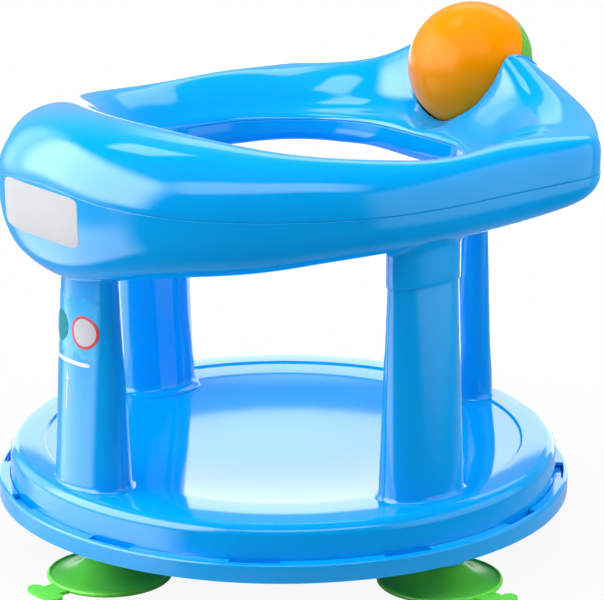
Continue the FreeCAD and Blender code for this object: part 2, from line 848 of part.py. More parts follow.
def main():
    os.makedirs("parts", exist_ok=True)
    save("base_dish", base_dish())
    cup_names = ["suction_cup_back", "suction_cup_right", "suction_cup_front", "suction_cup_left"]
    for name, degrees in zip(cup_names, cup_angles):
        save(name, suction_cup(degrees))
    save("swivel_tray", swivel_tray())
    save("pivot_screw", pivot_screw())
    save("pivot_washer", pivot_washer())
    save("ring_lower_shell", ring_lower_shell())
    save("ring_upper_shell", ring_upper_shell())
    save("ring_screws", ring_screws())
    save("post_screws", post_screws())
    save("ball_inner_half", ball_half(1))
    save("ball_outer_half", ball_half(-1))
    save("ball_axle", ball_axle())


main()
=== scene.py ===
import bpy, bmesh, math
import numpy as np
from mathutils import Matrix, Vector


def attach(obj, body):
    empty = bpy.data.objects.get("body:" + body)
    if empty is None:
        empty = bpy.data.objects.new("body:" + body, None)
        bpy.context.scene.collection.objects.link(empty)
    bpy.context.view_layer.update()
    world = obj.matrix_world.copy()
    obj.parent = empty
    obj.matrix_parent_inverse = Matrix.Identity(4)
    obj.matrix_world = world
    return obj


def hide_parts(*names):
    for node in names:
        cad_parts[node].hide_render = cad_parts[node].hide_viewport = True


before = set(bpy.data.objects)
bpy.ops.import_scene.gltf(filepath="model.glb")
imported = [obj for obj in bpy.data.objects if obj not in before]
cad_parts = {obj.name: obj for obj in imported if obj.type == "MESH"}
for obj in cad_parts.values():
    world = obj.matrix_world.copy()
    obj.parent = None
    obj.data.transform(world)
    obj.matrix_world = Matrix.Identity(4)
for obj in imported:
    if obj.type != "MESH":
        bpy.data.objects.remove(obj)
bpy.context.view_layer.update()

# Baby bath seat with a turning tray and a spinning ball. Sizes are in millimetres, heights are above
# the plane that the suction cups rest on, and mm turns them into the scene's metres.
mm = 0.001
# points nearer than this in metres are merged, and an edge that turns by more degrees stays sharp
meshes = {
    "mergeDistance": 2e-6,
    "sharpAngle": 38,
}
scene = bpy.context.scene
print("frame loaded:", len(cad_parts), "nodes")


def gridObject(name, grid, columnsClosed=True):
    # Quads between neighbouring points of a rows x columns grid of points, point (i, j) having the
    # number i * columns + j. The last row joins the first, and so do the columns where they are
    # closed. Lines that shrink to one point become poles.
    rows, columns = grid.shape[:2]
    index = np.arange(rows * columns).reshape(rows, columns)
    index = np.vstack([index, index[:1]])
    if columnsClosed:
        index = np.hstack([index, index[:, :1]])
    quads = np.stack([index[:-1, :-1], index[1:, :-1], index[1:, 1:], index[:-1, 1:]], -1).reshape(-1, 4)
    mesh = bpy.data.meshes.new(name)
    mesh.vertices.add(rows * columns)
    mesh.vertices.foreach_set("co", (grid * mm).astype(np.float32).ravel())
    mesh.loops.add(quads.size)
    mesh.loops.foreach_set("vertex_index", quads.ravel().astype(np.int32))
    mesh.polygons.add(len(quads))
    mesh.polygons.foreach_set("loop_start", np.arange(0, quads.size, 4, dtype=np.int32))
    mesh.update(calc_edges=True)
    return finishMesh(name, mesh)


def finishMesh(name, mesh):
    # Merges the points of poles and seams, turns the faces outwards and shades them smooth.
    work = bmesh.new()
    work.from_mesh(mesh)
    bmesh.ops.remove_doubles(work, verts=work.verts, dist=meshes["mergeDistance"])
    if work.calc_volume(signed=True) < 0:
        bmesh.ops.reverse_faces(work, faces=work.faces)
    work.to_mesh(mesh)
    work.free()
    mesh.shade_smooth()
    mesh.set_sharp_from_angle(angle=math.radians(meshes["sharpAngle"]))
    piece = bpy.data.objects.new(name, mesh)
    scene.collection.objects.link(piece)
    return piece


def place(piece, body, material, slot, *nodes):
    # Gives a piece its material and its body, and takes the solids that it stands for out of sight.
    piece.data.materials.append(material)
    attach(piece, body)
    if nodes:
        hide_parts(*nodes)
    return piece


def closedCurve(values, at):
    # A closed smooth curve through values at whole numbers: a uniform cubic B-spline whose control
    # values come from dividing the values by its kernel in the frequency domain.
    values = np.asarray(values, float)
    count = len(values)
    kernel = (2 + np.cos(2 * np.pi * np.arange(count) / count)) / 3
    shape = (-1,) + (1,) * (values.ndim - 1)
    control = np.fft.ifft(np.fft.fft(values, axis=0) / kernel.reshape(shape), axis=0).real
    whole = np.floor(at).astype(int)
    part = (at - whole).reshape(shape)
    weights = [(1 - part) ** 3 / 6, (3 * part ** 3 - 6 * part ** 2 + 4) / 6,
               (1 + 3 * part + 3 * part ** 2 - 3 * part ** 3) / 6, part ** 3 / 6]
    return sum(weight * control[(whole + step - 1) % count] for step, weight in enumerate(weights))


def smoothRows(points, leaving, arriving, shares):
    # Cubic curves through each row of points, with chord lengths as knots and given end directions,
    # read at shares of each row's length. The slopes make the bend the same on both sides of a point,
    # and a span is (2t^3 - 3t^2 + 1) p + (t^3 - 2t^2 + t) w m + (3t^2 - 2t^3) q + (t^3 - t^2) w n, from
    # p to q with slopes m and n over a width of w.
    rows, count = points.shape[:2]
    chords = np.linalg.norm(np.diff(points, axis=1), axis=2)
    knots = np.concatenate([np.zeros((rows, 1)), np.cumsum(chords, axis=1)], axis=1)
    matrix = np.zeros((rows, count, count))
    right = np.zeros_like(points)
    matrix[:, 0, 0] = matrix[:, -1, -1] = 1
    right[:, 0], right[:, -1] = leaving, arriving
    for i in range(1, count - 1):
        before, after = chords[:, i - 1], chords[:, i]
        matrix[:, i, i - 1], matrix[:, i, i], matrix[:, i, i + 1] = after, 2 * (before + after), before
        right[:, i] = 3 * ((after / before)[:, None] * (points[:, i] - points[:, i - 1])
                           + (before / after)[:, None] * (points[:, i + 1] - points[:, i]))
    slopes = np.linalg.solve(matrix, right)
    at = shares[None, :] * knots[:, -1:]
    span = (at[:, :, None] >= knots[:, None, 1:-1]).sum(-1)
    row = np.arange(rows)[:, None]
    width = chords[row, span][..., None]
    t = ((at - knots[row, span])[..., None]) / width
    start, end = points[row, span], points[row, span + 1]
    startSlope, endSlope = slopes[row, span], slopes[row, span + 1]
    return ((2 * t ** 3 - 3 * t ** 2 + 1) * start + (t ** 3 - 2 * t ** 2 + t) * width * startSlope
            + (3 * t ** 2 - 2 * t ** 3) * end + (t ** 3 - t ** 2) * width * endSlope)


def roundedLine(corners, steps=8):
    # A polygon in radius and height whose corners are arcs: each corner is (radius, height, fillet).
    # An arc starts its tangent length before the corner, which is fillet times tan(turn / 2).
    points = []
    for i, (x, z, fillet) in enumerate(corners):
        corner = np.array([x, z], float)
        if fillet == 0:
            points.append(corner)
            continue
        back = np.array(corners[i - 1][:2]) - corner
        on = np.array(corners[(i + 1) % len(corners)][:2]) - corner
        back, on = back / np.linalg.norm(back), on / np.linalg.norm(on)
        half = math.acos(np.clip(back @ on, -1, 1)) / 2
        bisector = (back + on) / np.linalg.norm(back + on)
        centre = corner + bisector * fillet / math.sin(half)
        first = corner + back * fillet / math.tan(half) - centre
        last = corner + on * fillet / math.tan(half) - centre
        sweep = math.pi - 2 * half
        for share in np.linspace(0, 1, steps + 1):
            points.append(centre + (first * math.sin((1 - share) * sweep) + last * math.sin(share * sweep))
                          / math.sin(sweep))
    return np.array(points)


def turnedProfile(profile, angles):
    # A profile in radius and height carried round the z axis: (r cos a, r sin a, height).
    grid = np.zeros((len(angles), len(profile), 3))
    grid[..., 0] = np.cos(angles)[:, None] * profile[None, :, 0]
    grid[..., 1] = np.sin(angles)[:, None] * profile[None, :, 0]
    grid[..., 2] = profile[None, :, 1]
    return grid


def fullTurn(steps):
    # Equal angles round a circle, without the last one, which is the first again.
    return np.arange(steps) * 2 * np.pi / steps


def rotated(grid, degrees, x, y):
    # A grid turned about the z axis and moved over the plan.
    c, s = math.cos(math.radians(degrees)), math.sin(math.radians(degrees))
    turn = np.array([[c, -s, 0], [s, c, 0], [0, 0, 1]])
    return grid @ turn.T + np.array([x, y, 0])


def addNode(tree, kind, inputs, **settings):
    # A shader node with its settings, whose inputs get another node's socket or a plain value.
    node = tree.nodes.new("ShaderNode" + kind)
    for name, value in settings.items():
        setattr(node, name, value)
    for name, value in inputs.items():
        if isinstance(value, bpy.types.NodeSocket):
            tree.links.new(value, node.inputs[name])
        else:
            node.inputs[name].default_value = value
    return node


# Finishes: moulded plastics with a faint unevenness in colour, gloss and surface.
moulding = {
    "cloudScale": 14,
    "cloudDetail": 2,
    "glossFrom": 0.8,
    "glossTo": 1.25,
    "rippleScale": 55,
    "rippleDetail": 1,
    "rippleDepth": 0.001,
}


def mouldedPlastic(name, colour, roughness, ior=1.5, uneven=0.03, ripple=0.03):
    # A cloud of noise mixes the colour between (1 - uneven) and (1 + uneven) times itself and moves
    # the roughness between its two shares; a finer noise raises the bump.
    material = bpy.data.materials.new(name)
    material.use_nodes = True
    tree = material.node_tree
    shader = tree.nodes["Principled BSDF"]
    shader.inputs["IOR"].default_value = ior
    onPiece = addNode(tree, "TexCoord", {}).outputs["Object"]
    cloud = addNode(tree, "TexNoise", {"Scale": moulding["cloudScale"], "Detail": moulding["cloudDetail"],
                                       "Vector": onPiece}).outputs["Fac"]
    tint = addNode(tree, "Mix", {"A": [channel * (1 - uneven) for channel in colour] + [1],
                                 "B": [min(1, channel * (1 + uneven)) for channel in colour] + [1],
                                 "Factor": cloud}, data_type="RGBA")
    tree.links.new(tint.outputs["Result"], shader.inputs["Base Color"])
    gloss = addNode(tree, "MapRange", {"To Min": roughness * moulding["glossFrom"],
                                       "To Max": roughness * moulding["glossTo"], "Value": cloud})
    tree.links.new(gloss.outputs["Result"], shader.inputs["Roughness"])
    skin = addNode(tree, "TexNoise", {"Scale": moulding["rippleScale"], "Detail": moulding["rippleDetail"],
                                      "Vector": onPiece})
    bump = addNode(tree, "Bump", {"Strength": ripple, "Distance": moulding["rippleDepth"],
                                  "Height": skin.outputs["Fac"]})
    tree.links.new(bump.outputs["Normal"], shader.inputs["Normal"])
    return material


bluePlastic = mouldedPlastic("bluePlastic", (0.0, 0.39, 0.95), 0.06)
greenRubber = mouldedPlastic("greenRubber", (0.16, 0.90, 0.06), 0.28, uneven=0.06, ripple=0.1)
greenPlastic = mouldedPlastic("greenPlastic", (0.13, 0.50, 0.06), 0.10)
orangePlastic = mouldedPlastic("orangePlastic", (1.0, 0.30, 0.0), 0.2, ior=1.2)
whitePlastic = mouldedPlastic("whitePlastic", (0.75, 0.75, 0.75), 0.3)
labelWhite = mouldedPlastic("labelWhite", (0.56, 0.57, 0.60), 0.6, uneven=0.02, ior=1.3)
labelTeal = mouldedPlastic("labelTeal", (0.0, 0.24, 0.32), 0.4, ior=1.2)
labelRed = mouldedPlastic("labelRed", (0.60, 0.02, 0.03), 0.25)
labelFilm = mouldedPlastic("labelFilm", (0.01, 0.45, 0.97), 0.05, ripple=0.0)
screwSteel = mouldedPlastic("screwSteel", (0.55, 0.55, 0.57), 0.3)
screwSteel.node_tree.nodes["Principled BSDF"].inputs["Metallic"].default_value = 1.0
for node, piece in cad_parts.items():
    finish = bluePlastic
    if node.startswith("suction_cup"):
        finish = greenRubber
    if "screw" in node or "washer" in node:
        finish = screwSteel
    if node == "ball_axle":
        finish = whitePlastic
    piece.data.materials.clear()
    piece.data.materials.append(finish)
print("finishes made")


# Ring: half of it at 15 stations, from the middle of the back to the middle of the front. The plan has
# each station's outer and inner point. The other half is its mirror image.
ring = {
    "outline": [(0, 166.0, 0, 97.8), (-41.6, 162.7, -31.6, 94.3), (-79.6, 141.4, -59.6, 78.5),
                (-107.6, 108.7, -80.2, 56.4), (-125.8, 73.9, -93.7, 29.9), (-139.3, 34.4, -100.6, 1.0),
                (-143.5, -11.1, -101.5, -21.8), (-142.4, -53.2, -96.9, -42.3), (-142.2, -88.1, -86.1, -61.2),
                (-139.3, -114.2, -71.6, -78.6), (-120.4, -137.7, -55.8, -89.5), (-92.1, -158.5, -41.9, -95.2),
                (-59.1, -171.1, -28.0, -97.3), (-29.4, -179.1, -14.1, -98.2), (0, -181.6, 0, -98.6)],
    "partingHeight": 222.0,
    "partingRise": [9.2, 6.5, 2.0, -0.5, -1.9, -2.4, -2.3, -2.1, -1.9, -1.7, -1.1, -0.8, -0.8, -0.9, -0.9],
    "crest": [32.2, 33.1, 33.5, 31.0, 28.6, 25.5, 23.4, 24.7, 24.6, 23.8, 25.9, 32.4, 44.8, 46.2, 23.3],
    # how far the crest is moved inwards, as a share of the section's width
    "crestShift": [0.18, 0.24, 0.22, 0.15, 0.06, 0, -0.10, -0.07, -0.01, -0.01, -0.01, -0.01, -0.01, -0.01,
                   -0.01],
    "outerDrop": [55.5, 47.0, 36.2, 30.8, 25.6, 22.4, 20.9, 20.5, 19.1, 16.3, 13.4, 14.4, 16.0, 17.4, 17.7],
    "innerDrop": [27.7, 26.8, 23.1, 18.8, 15.9, 14.5, 14.1, 14.2, 13.3, 13.5, 14.7, 15.1, 15.8, 16.7, 17.2],
    # how much of the back, side, corner and front section shapes each station
    "mix": [(1, 0, 0, 0), (1, 0, 0, 0), (0.9, 0.1, 0, 0), (0.6, 0.4, 0, 0), (0.3, 0.7, 0, 0),
            (0, 1, 0, 0), (0, 1, 0, 0), (0, 0.8, 0.2, 0), (0, 0.4, 0.6, 0), (0, 0, 1, 0),
            (0, 0, 0.6, 0.4), (0, 0, 0.2, 0.8), (0, 0, 0, 1), (0, 0, 0, 1), (0, 0, 0, 1)],
    # sections of the upper shell: share of the way in, share of the crest's height
    "upper": [
        [(0, 0), (0.015, 0.30), (0.06, 0.60), (0.13, 0.83), (0.24, 0.965), (0.38, 1), (0.52, 0.95),
         (0.65, 0.80), (0.79, 0.55), (0.92, 0.25), (1, 0)],
        [(0, 0), (0.02, 0.30), (0.07, 0.58), (0.16, 0.81), (0.28, 0.955), (0.40, 1), (0.53, 0.95),
         (0.66, 0.80), (0.79, 0.57), (0.91, 0.29), (1, 0)],
        [(0, 0), (0, 0.33), (0.012, 0.64), (0.05, 0.86), (0.14, 0.955), (0.30, 1), (0.45, 0.96),
         (0.60, 0.80), (0.75, 0.52), (0.89, 0.22), (1, 0)],
        [(0, 0), (0, 0.22), (0.01, 0.42), (0.05, 0.60), (0.18, 0.78), (0.38, 0.98), (0.48, 0.985),
         (0.58, 0.78), (0.68, 0.47), (0.84, 0.17), (1, 0)],
    ],
    # section of the lower shell: share of the way in, shares of the outer and the inner drop
    "lower": [(0, 0, 0), (0, 0.33, 0), (0.03, 0.66, 0), (0.11, 0.90, 0), (0.25, 1, 0), (0.45, 0.76, 0.24),
              (0.66, 0.42, 0.60), (0.86, 0.12, 0.92), (0.965, 0, 0.88), (1, 0, 0.52), (1, 0, 0)],
    "wall": 2.5,
    "edge": 0.5,
    "coarse": 16,  # grid rows for each station, and more of them from a station on, beside the ball
    "fine": 30,
    "fineFrom": 10.4,
    "columns": 92,
    "insideColumns": 24,
}
# Ball: the socket is a little larger, and its pole is the way out of it, up and towards the seat.
ball = {
    "centre": (0, -143.3, 257.4),
    "radius": 38.2,
    "socket": 39.2,
    "pole": (0, 0.5, 0.87),
    "seamTilt": 34,
    "seamRound": 0.6,
    "wall": 2.4,
    "steps": 160,
    "capSteps": 60,
    "bendSteps": 6,
    "insideSteps": 24,
}


def mirroredTable(values, flipX=False):
    # A half table from back to front, continued by its mirror image from front to back.
    values = np.array(values, float)
    image = values[-2:0:-1].copy()
    if flipX:
        image[:, 0::2] *= -1
    return np.concatenate([values, image])


def ringStations():
    # Station numbers of the grid's rows, 0 at the back and the tables' last one at the front.
    half = len(ring["outline"]) - 1
    fineFrom, fineTo = ring["fineFrom"], 2 * half - ring["fineFrom"]
    fineCount = int((fineTo - fineFrom) * ring["fine"])
    coarseCount = int(fineFrom * ring["coarse"])
    return np.concatenate([np.linspace(0, fineFrom, coarseCount, endpoint=False),
                           np.linspace(fineFrom, fineTo, fineCount, endpoint=False),
                           np.linspace(fineTo, 2 * half, coarseCount, endpoint=False)])


def columnShares(count):
    # Even steps along a section with a few short ones at both ends, where the edge is rounded.
    ends = np.array([0, 0.0012, 0.0025, 0.004, 0.006, 0.009])
    even = np.linspace(0.016, 0.984, count - 2 * len(ends))
    return np.concatenate([ends, even, 1 - ends[::-1]])


def ringFrame(stations):
    # The two lines where the shells meet, outside and inside, at the parting height and its rise.
    outline = closedCurve(mirroredTable(ring["outline"], flipX=True), stations)
    rise = closedCurve(mirroredTable(ring["partingRise"]), stations)
    base = ring["partingHeight"] + rise
    outer = np.column_stack([outline[:, :2], base])
    inner = np.column_stack([outline[:, 2:], base])
    return outer, inner


def ringUpperSkin(stations, shares):
    # outer + (inner - outer) u' at the parting height + crest v, where (u, v) is the station's section
    # and u' = u + 4 shift u (1 - u) leans it inwards.
    outer, inner = ringFrame(stations)
    mix = closedCurve(mirroredTable(ring["mix"]), stations)
    crest = closedCurve(mirroredTable(ring["crest"]), stations)
    shift = closedCurve(mirroredTable(ring["crestShift"]), stations)
    section = np.einsum("sk,kpc->spc", mix, np.array(ring["upper"], float))
    inward = section[..., 0] + shift[:, None] * 4 * section[..., 0] * (1 - section[..., 0])
    points = outer[:, None] + (inner - outer)[:, None] * inward[..., None]
    points[..., 2] += crest[:, None] * section[..., 1]
    return smoothRows(points, np.array([0, 0, 1.0]), np.array([0, 0, -1.0]), shares)


def ringLowerSkin(stations, shares):
    # outer + (inner - outer) u at the parting height - (outer drop v + inner drop w), where (u, v, w)
    # is the section.
    outer, inner = ringFrame(stations)
    outerDrop = closedCurve(mirroredTable(ring["outerDrop"]), stations)
    innerDrop = closedCurve(mirroredTable(ring["innerDrop"]), stations)
    section = np.array(ring["lower"], float)
    points = outer[:, None] + (inner - outer)[:, None] * section[None, :, :1]
    points[..., 2] -= outerDrop[:, None] * section[None, :, 1] + innerDrop[:, None] * section[None, :, 2]
    return smoothRows(points, np.array([0, 0, -1.0]), np.array([0, 0, 1.0]), shares)


def gridNormals(grid):
    # Cross product of the steps along rows (a closed direction) and along columns.
    along = np.roll(grid, -1, axis=0) - np.roll(grid, 1, axis=0)
    normal = np.cross(along, np.gradient(grid, axis=1))
    return normal / np.linalg.norm(normal, axis=2, keepdims=True)


def pushedOutOfBall(grid, radius, pole):
    # Points inside the ball's sphere go to where the line from the sphere's pole through them leaves it,
    # pole + t (point - pole) with t = -2 pole.(point - pole) / |point - pole|^2 from the centre: a cup.
    start = np.array(pole) / np.linalg.norm(pole) * radius
    offset = grid - np.array(ball["centre"])
    line = offset - start
    leaving = -2 * (line @ start) / (line ** 2).sum(axis=-1)
    inside = (offset ** 2).sum(axis=-1) < radius ** 2
    reach = np.where(inside, np.maximum(leaving, 1), 1)[..., None]
    return np.array(ball["centre"]) + start + line * reach


def shellOfSkin(skin, wall, edge, insideColumns):
    # A closed thin shell: the skin with its two edges rounded, e - sqrt(e^2 - (e - distance)^2) inwards,
    # then a coarser copy moved in by the wall.
    normal = gridNormals(skin)
    middle = skin.mean(axis=1, keepdims=True)
    facing = np.sign(((middle - skin) * normal).sum(-1).mean())
    inward = normal * facing
    inside = pushedOutOfBall(skin + inward * wall, ball["socket"] + wall, ball["pole"])
    inside[:, 0, 2], inside[:, -1, 2] = skin[:, 0, 2], skin[:, -1, 2]
    steps = np.linalg.norm(np.diff(skin, axis=1), axis=2)
    along = np.concatenate([np.zeros((len(skin), 1)), np.cumsum(steps, axis=1)], axis=1)
    fromEnd = np.minimum(np.minimum(along, along[:, -1:] - along), edge)
    rounding = edge - np.sqrt(edge ** 2 - (edge - fromEnd) ** 2)
    outside = skin + inward * rounding[..., None]
    pick = np.unique(np.linspace(0, skin.shape[1] - 1, insideColumns).astype(int))
    return np.concatenate([outside, inside[:, pick[::-1]]], axis=1)


stations = ringStations()
upperSkin = ringUpperSkin(stations, columnShares(ring["columns"]))
lowerSkin = ringLowerSkin(stations, columnShares(ring["columns"]))
upperSkin = pushedOutOfBall(upperSkin, ball["socket"], ball["pole"])
lowerSkin = pushedOutOfBall(lowerSkin, ball["socket"], ball["pole"])
for name, skin, node in (("ringUpperShell", upperSkin, "ring_upper_shell"),
                         ("ringLowerShell", lowerSkin, "ring_lower_shell")):
    shell = gridObject(name, shellOfSkin(skin, ring["wall"], ring["edge"], ring["insideColumns"]))
    place(shell, "seat", bluePlastic, "blue_plastic", node)
print("ring made")


# Posts, oval, with the long way along the ring; each stands on the tray and enters a collar.
posts = {
    "backReach": 134.6,
    "sideReach": 127.1,
    "sideShift": 1.9,
    "halfLength": 26.8,
    "halfWidth": 18.3,
    "topHalfLength": 23.8,
    "topHalfWidth": 10.7,
    "flare": 5.5,
    "foot": 53.2,
    "sink": 2,
    "shoulder": 175.4,
    "rise": 8.0,
    "steps": 160,
    "flareLevels": 13,
    "shaftLevels": 9,
}
postPlaces = {
    "Back": (0, posts["backReach"], 0),
    "Right": (-posts["sideReach"], posts["sideShift"], 90),
    "Front": (0, -posts["backReach"], 180),
    "Left": (posts["sideReach"], posts["sideShift"], 270),
}


def ovalStack(levels, steps):
    # Ellipses (a cos t, b sin t) stacked by height: each level is (height, half length a, half width b).
    turn = fullTurn(steps)[:, None]
    levels = np.array(levels, float)
    return np.stack([levels[None, :, 1] * np.cos(turn), levels[None, :, 2] * np.sin(turn),
                     np.repeat(levels[None, :, 0], steps, axis=0)], -1)


def postLevels():
    # A closed post: a point underneath, a quarter arc of flare, a straight taper and a point on top.
    # The arc goes out by f (1 - sin t) at a height of f (1 - cos t) above the foot.
    spread, foot, top = posts["flare"], posts["foot"], posts["shoulder"] + posts["rise"]
    length, width = posts["halfLength"], posts["halfWidth"]
    levels = [(foot - posts["sink"], 0, 0), (foot - posts["sink"], length + spread, width + spread)]
    for turn in np.linspace(0, math.pi / 2, posts["flareLevels"]):
        out = spread * (1 - math.sin(turn))
        levels.append((foot + spread * (1 - math.cos(turn)), length + out, width + out))
    for share in np.linspace(0, 1, posts["shaftLevels"])[1:]:
        levels.append((foot + spread + (top - foot - spread) * share,
                       length + (posts["topHalfLength"] - length) * share,
                       width + (posts["topHalfWidth"] - width) * share))
    levels.append((top, 0, 0))
    return levels


for side, (x, y, degrees) in postPlaces.items():
    post = gridObject("post" + side, rotated(ovalStack(postLevels(), posts["steps"]), degrees, x, y),
                      columnsClosed=False)
    place(post, "seat", bluePlastic, "blue_plastic", "swivel_tray")
print("posts made")


# Collars under the ring, each with a run out into the ring's underside.
collars = {
    "proud": 1.1,
    "bottom": 175.7,
    "edge": 0.5,
    "flare": 4.0,
    "inside": 2.2,
    "least": 1.0,
    "into": 1.5,
    "reach": 12,
    "rimSteps": 5,
    "wallSteps": 8,
    "runOutSteps": 10,
}
underside = {
    "skipColumns": 10,
    "leastFacing": 0.25,
}


def undersideHeight(x, y):
    # Height of the lower skin above a plan point, from the plane through the nearest skin point p with
    # its normal n: p.z - (n.x (x - p.x) + n.y (y - p.y)) / n.z.
    columns = slice(underside["skipColumns"], -underside["skipColumns"])
    flat = lowerSkin[:, columns].reshape(-1, 3)
    normal = gridNormals(lowerSkin)[:, columns].reshape(-1, 3)
    facing = np.abs(normal[:, 2]) > underside["leastFacing"]
    flat, normal = flat[facing], normal[facing]
    query = np.stack([x, y], -1)
    nearest = ((flat[None, :, :2] - query[:, None]) ** 2).sum(-1).argmin(1)
    base, lean = flat[nearest], normal[nearest]
    return base[:, 2] - ((query - base[:, :2]) * lean[:, :2]).sum(-1) / lean[:, 2]


def collarGrid(x, y, degrees):
    # Ellipses from inside the ring down the bore, round the rim, up the wall and out into the skin.
    # The run out is the quadratic curve start (1 - t)^2 + 2 corner t (1 - t) + end t^2.
    turn = fullTurn(posts["steps"])
    length, width = posts["topHalfLength"] + collars["proud"], posts["topHalfWidth"] + collars["proud"]
    wall = np.stack([length * np.cos(turn), width * np.sin(turn), 0 * turn], -1)
    outward = np.stack([np.cos(turn) / length, np.sin(turn) / width, 0 * turn], -1)
    outward /= np.linalg.norm(outward, axis=1, keepdims=True)
    inner = wall - outward * collars["inside"]
    onSkin = rotated(wall, degrees, x, y)
    away = rotated(wall + outward * collars["flare"], degrees, x, y)
    corner = undersideHeight(onSkin[:, 0], onSkin[:, 1])
    out = undersideHeight(away[:, 0], away[:, 1])
    bottom = np.full_like(turn, collars["bottom"])
    lines = [(inner, bottom + collars["reach"]), (inner, bottom)]
    for bend in np.linspace(0, 1, collars["rimSteps"]) * math.pi / 2:
        lines.append((wall - outward * collars["edge"] * (1 - math.sin(bend)),
                      bottom + collars["edge"] * (1 - math.cos(bend))))
    start = np.maximum(corner - collars["flare"], collars["bottom"] + collars["least"])
    rim = collars["bottom"] + collars["edge"]
    for share in np.linspace(0.1, 1, collars["wallSteps"]):
        lines.append((wall, rim + (start - rim) * share))
    for t in np.linspace(0, 1, collars["runOutSteps"])[1:]:
        lines.append((wall + outward * collars["flare"] * t * t,
                      start * (1 - t) ** 2 + 2 * corner * t * (1 - t) + out * t * t))
    lines.append((wall + outward * collars["flare"], out + collars["into"]))
    lines.append((inner, np.maximum(corner + collars["into"], bottom + collars["reach"])))
    grid = np.stack([np.column_stack([spot[:, :2], height]) for spot, height in lines], axis=1)
    return rotated(grid, degrees, x, y)


for side, (x, y, degrees) in postPlaces.items():
    collar = gridObject("collar" + side, collarGrid(x, y, degrees))
    place(collar, "seat", bluePlastic, "blue_plastic", "ring_lower_shell")
print("collars made")


# Tray: a shouldered wall, a flat band, a slight step and a shallow dish, in one moulding.
tray = {
    "foot": 31.3,
    "radius": 160.6,
    "topRadius": 160.0,
    "flange": 3.4,
    "flangeThickness": 2.2,
    "top": 55.6,
    "shoulder": 6.2,
    "bandWidth": 20.0,
    "step": 1.2,
    "ringWidth": 19.0,
    "dishDepth": 7.0,
    "dishPower": 2.6,
    "wall": 2.6,
    "edge": 0.5,
    "wallEdge": 0.6,
    "insideEdge": 2.0,
    "steps": 360,
    "dishSteps": 26,
}


def trayProfile():
    # Radius and height of the closed section, from the dish's middle outwards and back underneath.
    # The dish is the ring's top - depth (1 - s^power) at a share s of its radius.
    radius, top, foot, edge = tray["radius"], tray["top"], tray["foot"], tray["edge"]
    lipRadius, lipTop, inside = radius + tray["flange"], foot + tray["flangeThickness"], radius - tray["wall"]
    bandInner = tray["topRadius"] - tray["bandWidth"]
    dishEdge = bandInner - tray["ringWidth"]
    ringTop = top - tray["step"]
    ringUnder = ringTop - tray["wall"]
    slope = tray["step"] / 2
    share = np.linspace(0, 1, tray["dishSteps"])
    depth = tray["dishDepth"] * (1 - share ** tray["dishPower"])
    dish = np.column_stack([dishEdge * share, ringTop - depth])
    upper = roundedLine([
        (dishEdge, ringTop, 0), (bandInner - slope, ringTop, edge), (bandInner + slope, top, edge),
        (tray["topRadius"], top, tray["shoulder"]), (radius, lipTop, tray["wallEdge"]),
        (lipRadius, lipTop, edge), (lipRadius, foot, edge), (inside, foot, edge),
        (inside, ringUnder, tray["insideEdge"]), (dishEdge, ringUnder, 0)])
    under = dish[::-1] - np.array([0, tray["wall"]])
    return np.concatenate([dish[:-1], upper, under[1:]])


trayPiece = gridObject("trayTop", turnedProfile(trayProfile(), fullTurn(tray["steps"])), columnsClosed=False)
place(trayPiece, "seat", bluePlastic, "blue_plastic", "swivel_tray")
print("tray made")


def ballHalf(name, side, material, slot, node):
    # Half a ball: a cap (R sin t, R cos t) from pole to seam with a rounded seam edge, closed by a flat
    # ring and an inner cap, turned about its pole and laid along the tilted seam's normal.
    radius, edge = ball["radius"], ball["seamRound"]
    inner = radius - ball["wall"]
    quarter = math.pi / 2
    cap = [(radius * math.sin(t), radius * math.cos(t))
           for t in np.linspace(0, quarter - edge / radius, ball["capSteps"])]
    bend = [(radius - edge * (1 - math.cos(t)), edge * (1 - math.sin(t)))
            for t in np.linspace(0, quarter, ball["bendSteps"])]
    inside = [(inner * math.cos(t), inner * math.sin(t))
              for t in np.linspace(0, quarter, ball["insideSteps"])]
    grid = turnedProfile(np.array(cap + bend[1:] + inside), fullTurn(ball["steps"]))
    tilt = math.radians(ball["seamTilt"])
    pole = np.array([0, math.cos(tilt), math.sin(tilt)]) * side
    right = np.array([1.0, 0, 0])
    third = np.cross(pole, right)
    points = grid[..., :1] * right + grid[..., 1:2] * third + grid[..., 2:] * pole
    return place(gridObject(name, points + np.array(ball["centre"]), columnsClosed=False), "ball",
                 material, slot, node)


ballHalf("ballOrangeHalf", 1, orangePlastic, "orange_plastic", "ball_inner_half")
ballHalf("ballGreenHalf", -1, greenPlastic, "green_plastic", "ball_outer_half")
print("ball made")


# Labels: a blank white one across the ring's back, and plain marks on the back of the rear post.
labels = {
    "lift": 0.22,
    "sink": 0.08,
    "edge": 0.05,
    "steps": 120,
    "lines": 14,
    "ringLabel": {"x": 2.0, "z": 214.6, "halfWidth": 36.0, "halfHeight": 14.0, "roundness": 9},
    "film": {"x": 0.0, "z": 148.0, "halfWidth": 20.5, "halfHeight": 17.0, "roundness": 10},
    "tealDisc": {"x": 11.0, "z": 146.0, "halfWidth": 8.6, "halfHeight": 8.6, "roundness": 2, "level": 0.12},
    "whiteDisc": {"x": -10.6, "z": 146.0, "halfWidth": 7.9, "halfHeight": 7.9, "roundness": 2, "level": 0.12},
    "redRing": {"x": -10.6, "z": 146.0, "halfWidth": 9.4, "halfHeight": 9.4, "roundness": 2, "level": 0.18,
                "inner": 0.83},
    "levelLine": {"x": 0.5, "z": 127.6, "halfWidth": 15.6, "halfHeight": 1.1, "roundness": 8},
    "arrowShaft": {"x": 2.0, "z": 108.5, "halfWidth": 0.55, "halfHeight": 8.6, "roundness": 8},
    "arrowHead": {"x": 2.0, "z": 119.0, "halfWidth": 1.7, "halfHeight": 3.4, "corners": [90, 215, 325]},
}


